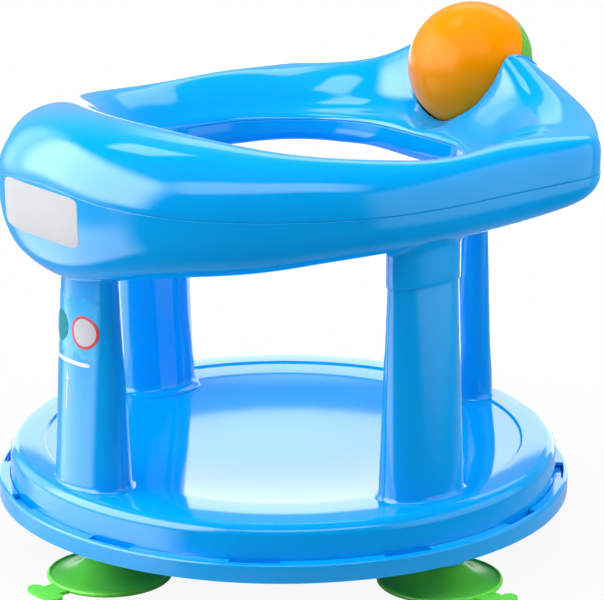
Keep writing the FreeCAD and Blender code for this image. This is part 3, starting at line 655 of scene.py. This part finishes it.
def labelOutline(label):
    # A rounded rectangle as a superellipse, |x/w|^n + |z/h|^n = 1, or a polygon by its corners' angles.
    turn = fullTurn(labels["steps"])
    if "corners" in label:
        corners = np.radians(label["corners"])
        spots = np.column_stack([np.cos(corners), np.sin(corners)])
        share = np.linspace(0, len(spots), labels["steps"], endpoint=False)
        whole = share.astype(int)
        line = spots[whole] + (np.roll(spots, -1, axis=0)[whole] - spots[whole]) * (share - whole)[:, None]
    else:
        power = 2 / label["roundness"]
        line = np.column_stack([np.sign(np.cos(turn)) * np.abs(np.cos(turn)) ** power,
                                np.sign(np.sin(turn)) * np.abs(np.sin(turn)) ** power])
    return line * (label["halfWidth"], label["halfHeight"])


def labelGrid(label, surface):
    # Rows go round the outline, columns in over the face and back under it, closed at both middles.
    # A point is the surface's point + its normal times the lift. Marks that lie on the film have a level.
    line, count = labelOutline(label), labels["lines"]
    inner, level = label.get("inner", 0.0), label.get("level", 0.0)
    shares = np.concatenate([np.linspace(inner, 1, count), np.linspace(1, inner, count)])
    flat = np.array([label["x"], label["z"]]) + line[:, None] * shares[None, :, None]
    point, normal = surface(flat[..., 0], flat[..., 1])
    lift = np.concatenate([np.full(count, level + labels["lift"]), np.full(count, level - labels["sink"])])
    lift[count - 1] -= labels["edge"]
    return point + normal * lift[None, :, None]


def rearPostFace(x, z):
    # The back of the rear post: an ellipse at each height, y = b sqrt(1 - (x / a)^2), narrowing upwards.
    straightFrom, top = posts["foot"] + posts["flare"], posts["shoulder"] + posts["rise"]
    share = (z - straightFrom) / (top - straightFrom)
    length = posts["halfLength"] + (posts["topHalfLength"] - posts["halfLength"]) * share
    width = posts["halfWidth"] + (posts["topHalfWidth"] - posts["halfWidth"]) * share
    depth = width * np.sqrt(1 - (x / length) ** 2)
    normal = np.stack([x / length ** 2, depth / width ** 2, 0 * x], -1)
    normal /= np.linalg.norm(normal, axis=-1, keepdims=True)
    return np.stack([x, posts["backReach"] + depth, z], -1), normal


# a fine grid of the ring's lower skin across the middle of the back, for the label on it
backFace = {
    "rows": np.linspace(26.6, 29.4, 141),
    "columns": np.linspace(0, 0.3, 61),
    "rowMiddle": 70,
    "columnMiddle": 30,
    "labelColumn": 20,
}
backSkin = ringLowerSkin(backFace["rows"], backFace["columns"])
backNormals = gridNormals(backSkin)
backNormals *= np.sign(backNormals[backFace["rowMiddle"], backFace["columnMiddle"], 1])


def ringBackFace(x, z):
    # The skin's point at a given x and height: both are looked up in the fine grid, and the point is the
    # mean of the four round it, weighed by (1 - part) or part times (1 - down) or down.
    row = np.interp(-x, -backSkin[1:-1, backFace["labelColumn"], 0], np.arange(1, len(backSkin) - 1))
    low = row.astype(int)
    part = row - low
    heights = backSkin[low, :, 2] * (1 - part)[..., None] + backSkin[low + 1, :, 2] * part[..., None]
    column = np.sum(heights > z[..., None], axis=-1) - 1
    column = np.clip(column, 0, backSkin.shape[1] - 2)
    above = np.take_along_axis(heights, column[..., None], -1)[..., 0]
    below = np.take_along_axis(heights, column[..., None] + 1, -1)[..., 0]
    down = np.clip((above - z) / (above - below), 0, 1)
    weights = [((0, 0), (1 - part) * (1 - down)), ((1, 0), part * (1 - down)),
               ((0, 1), (1 - part) * down), ((1, 1), part * down)]
    point = sum(backSkin[low + i, column + j] * share[..., None] for (i, j), share in weights)
    normal = sum(backNormals[low + i, column + j] * share[..., None] for (i, j), share in weights)
    return point, normal / np.linalg.norm(normal, axis=-1, keepdims=True)


def addLabel(name, surface, material, node):
    # A ring's face stays open in the middle, so its last line joins its first.
    closed = "inner" in labels[name]
    piece = gridObject(name, labelGrid(labels[name], surface), columnsClosed=closed)
    place(piece, "seat", material, "white_plastic", node)


addLabel("ringLabel", ringBackFace, labelWhite, "ring_lower_shell")
addLabel("film", rearPostFace, labelFilm, "swivel_tray")
addLabel("tealDisc", rearPostFace, labelTeal, "swivel_tray")
addLabel("whiteDisc", rearPostFace, labelWhite, "swivel_tray")
addLabel("redRing", rearPostFace, labelRed, "swivel_tray")
addLabel("levelLine", rearPostFace, whitePlastic, "swivel_tray")
addLabel("arrowShaft", rearPostFace, whitePlastic, "swivel_tray")
addLabel("arrowHead", rearPostFace, whitePlastic, "swivel_tray")
print("labels made")


# Stage: the camera, softboxes, panels for the reflections, a white surround and a pale floor.
view = {
    "lens": 169.87,
    "sensor": 36,
    "clipEnd": 20,
    "position": (-1260.2, 976.1, 594.0),
    "direction": (0.7558, -0.5938, -0.2760),
}
camera = bpy.data.objects.new("camera", bpy.data.cameras.new("camera"))
camera.data.lens = view["lens"]
camera.data.sensor_width = view["sensor"]
camera.data.sensor_fit = "HORIZONTAL"
camera.data.clip_end = view["clipEnd"]
camera.location = Vector(view["position"]) * mm
camera.rotation_euler = Vector(view["direction"]).to_track_quat("-Z", "Y").to_euler()
scene.collection.objects.link(camera)
scene.camera = camera

# Metres and degrees. The turn counts round the seat from the camera's side towards its right, and the
# height is the angle above the seat's middle. A brightness of 1 is white.
aim = Vector((0, 0, 0.15))
gleams = {
    # turn, height, distance, width, tall, brightness, share of the half size that fades
    "keyGleam": (-70, 26, 1.3, 2.6, 1.5, 8.0, 0.45),
    "leftWash": (-95, 18, 1.7, 4.2, 2.2, 2.6, 0.6),
    "lowGleam": (-82, -24, 1.2, 2.4, 0.7, 3.6, 0.5),
    "frontGleam": (12, 42, 1.4, 1.7, 0.55, 3.6, 0.5),
    "rightGleam": (75, 8, 1.3, 2.0, 1.2, 1.1, 0.4),
    "backGleam": (178, -6, 0.48, 0.9, 0.30, 2.6, 0.08),
    "overheadGleam": (160, 38, 1.4, 1.3, 0.6, 1.8, 0.4),
    "topGleam": (-134, 70, 1.4, 0.6, 0.5, 4.0, 0.4),
}
softboxes = {
    # turn, height, distance, width, tall, brightness
    "keyBox": (-80, 18, 1.3, 1.5, 1.3, 2.2),
    "overheadBox": (150, 70, 1.4, 1.2, 1.0, 1.9),
    "rightBox": (88, 14, 1.3, 0.5, 1.0, 4.0),
    "frontBox": (-15, 66, 1.4, 1.7, 0.8, 3.9),
}


def awayFromSeat(turn, height):
    # (back cos turn - side sin turn) cos height + up sin height, where back points at the camera.
    back = Vector((-view["direction"][0], -view["direction"][1], 0)).normalized()
    side = Vector((back.y, -back.x, 0))
    turn, height = math.radians(turn), math.radians(height)
    level = back * math.cos(turn) - side * math.sin(turn)
    return level * math.cos(height) + Vector((0, 0, math.sin(height)))


def gleamPanel(name, turn, height, distance, width, tall, brightness, fade):
    # A bright panel that only reflections see. Its light is the product of a smooth step from each
    # pair of edges inwards.
    away = awayFromSeat(turn, height)
    across = Vector((0, 0, 1)).cross(away).normalized() * (width / 2)
    upward = away.cross(across).normalized() * (tall / 2)
    middle = aim + away * distance
    corners = [middle - across - upward, middle + across - upward,
               middle + across + upward, middle - across + upward]
    mesh = bpy.data.meshes.new(name)
    mesh.from_pydata([tuple(corner) for corner in corners], [], [(0, 1, 2, 3)])
    mesh.uv_layers.new(name="UVMap").data.foreach_set("uv", [0, 0, 1, 0, 1, 1, 0, 1])
    material = bpy.data.materials.new(name)
    material.use_nodes = True
    tree = material.node_tree
    tree.nodes.clear()
    onPanel = addNode(tree, "TexCoord", {}).outputs["UV"]
    split = addNode(tree, "SeparateXYZ", {0: onPanel})
    steps = []
    for axis in ("X", "Y"):
        centred = addNode(tree, "Math", {0: split.outputs[axis], 1: 0.5}, operation="SUBTRACT")
        folded = addNode(tree, "Math", {0: centred.outputs[0]}, operation="ABSOLUTE")
        edge = addNode(tree, "MapRange", {"From Min": 0.5, "From Max": 0.5 - fade / 2,
                                          "Value": folded.outputs[0]}, interpolation_type="SMOOTHSTEP")
        steps.append(edge.outputs["Result"])
    strength = addNode(tree, "Math", {0: steps[0], 1: steps[1]}, operation="MULTIPLY")
    glow = addNode(tree, "Emission", {"Strength": brightness})
    clear = addNode(tree, "BsdfTransparent", {})
    blend = addNode(tree, "MixShader", {0: strength.outputs[0], 1: clear.outputs[0], 2: glow.outputs[0]})
    addNode(tree, "OutputMaterial", {"Surface": blend.outputs[0]})
    mesh.materials.append(material)
    panel = bpy.data.objects.new(name, mesh)
    for sees in ("visible_camera", "visible_diffuse", "visible_shadow", "visible_transmission"):
        setattr(panel, sees, False)
    scene.collection.objects.link(panel)


def softbox(name, turn, height, distance, width, tall, brightness):
    # A rectangle of light that faces the seat; only the panels show in reflections, not these.
    away = awayFromSeat(turn, height)
    lamp = bpy.data.lights.new(name, "AREA")
    lamp.shape = "RECTANGLE"
    lamp.size, lamp.size_y = width, tall
    lamp.energy = brightness * math.pi * width * tall
    holder = bpy.data.objects.new(name, lamp)
    holder.location = aim + away * distance
    holder.rotation_euler = away.to_track_quat("Z", "Y").to_euler()
    holder.visible_camera = False
    holder.visible_glossy = False
    scene.collection.objects.link(holder)


for name, values in gleams.items():
    gleamPanel(name, *values)
for name, values in softboxes.items():
    softbox(name, *values)
print("lights made")


# Surround: white for the camera. For diffuse light and reflections the backdrop behind the seat is
# bright and the room on the camera's side is dim, by how far a ray points along the view.
surround = {
    "white": 1.0,
    # view share where the ramp starts and ends, strength at its start and end
    "diffuse": (-0.4, 0.8, 0.08, 0.95),
    "reflected": (0.2, 0.8, 0.05, 0.45),
}
world = bpy.data.worlds.new("surround")
scene.world = world
world.use_nodes = True
tree = world.node_tree
tree.nodes.remove(tree.nodes["Background"])
path = addNode(tree, "LightPath", {})
towards = addNode(tree, "TexCoord", {}).outputs["Generated"]
facing = addNode(tree, "VectorMath", {0: towards, 1: view["direction"]}, operation="DOT_PRODUCT")
backgrounds = []
for limits in (surround["diffuse"], surround["reflected"]):
    ramp = addNode(tree, "MapRange", dict(zip(("From Min", "From Max", "To Min", "To Max"), limits)))
    tree.links.new(facing.outputs["Value"], ramp.inputs["Value"])
    backgrounds.append(addNode(tree, "Background", {"Color": (1, 1, 1, 1),
                                                    "Strength": ramp.outputs["Result"]}))
white = addNode(tree, "Background", {"Color": (1, 1, 1, 1), "Strength": surround["white"]})
seen = addNode(tree, "Math", {0: path.outputs["Is Camera Ray"], 1: path.outputs["Is Transmission Ray"]},
               operation="MAXIMUM")
lit = addNode(tree, "MixShader", {0: path.outputs["Is Glossy Ray"], 1: backgrounds[0].outputs[0],
                                  2: backgrounds[1].outputs[0]})
choose = addNode(tree, "MixShader", {0: seen.outputs[0], 1: lit.outputs[0], 2: white.outputs[0]})
tree.links.new(choose.outputs[0], tree.nodes["World Output"].inputs["Surface"])

# Floor: paper round the seat, in metres. Further out the camera sees plain white and reflections see
# past it, by a smooth step over the distance from the middle.
paper = {
    "half": 3,
    "drop": 0.0002,
    "grey": 0.5,
    "roughness": 0.9,
    "whiteFrom": 0.16,
    "whiteTo": 0.36,
    "leastWhite": 0.92,
}
half = paper["half"]
floorMesh = bpy.data.meshes.new("floor")
floorMesh.from_pydata([(-half, -half, 0), (half, -half, 0), (half, half, 0), (-half, half, 0)], [],
                      [(0, 1, 2, 3)])
floor = bpy.data.objects.new("floor", floorMesh)
floor.location = (0, 0, -paper["drop"])
scene.collection.objects.link(floor)
floorPaper = bpy.data.materials.new("paper")
floorPaper.use_nodes = True
tree = floorPaper.node_tree
shader = tree.nodes["Principled BSDF"]
shader.inputs["Base Color"].default_value = (paper["grey"], paper["grey"], paper["grey"], 1)
shader.inputs["Roughness"].default_value = paper["roughness"]
onFloor = addNode(tree, "TexCoord", {}).outputs["Object"]
reach = addNode(tree, "VectorMath", {0: onFloor}, operation="LENGTH")
far = addNode(tree, "MapRange", {"From Min": paper["whiteFrom"], "From Max": paper["whiteTo"],
                                 "Value": reach.outputs["Value"]}, interpolation_type="SMOOTHSTEP")
lifted = addNode(tree, "MapRange", {"To Min": paper["leastWhite"], "Value": far.outputs["Result"]})
rays = addNode(tree, "LightPath", {})
whitened = addNode(tree, "Math", {0: rays.outputs["Is Camera Ray"], 1: lifted.outputs["Result"]},
                   operation="MULTIPLY")
passed = addNode(tree, "Math", {0: rays.outputs["Is Glossy Ray"], 1: far.outputs["Result"]},
                 operation="MULTIPLY")
glow = addNode(tree, "Emission", {})
clear = addNode(tree, "BsdfTransparent", {})
plain = addNode(tree, "MixShader", {0: whitened.outputs[0], 1: shader.outputs[0], 2: glow.outputs[0]})
whole = addNode(tree, "MixShader", {0: passed.outputs[0], 1: plain.outputs[0], 2: clear.outputs[0]})
tree.links.new(whole.outputs[0], tree.nodes["Material Output"].inputs["Surface"])
floorMesh.materials.append(floorPaper)
scene.view_settings.view_transform = "Standard"
print("stage made")
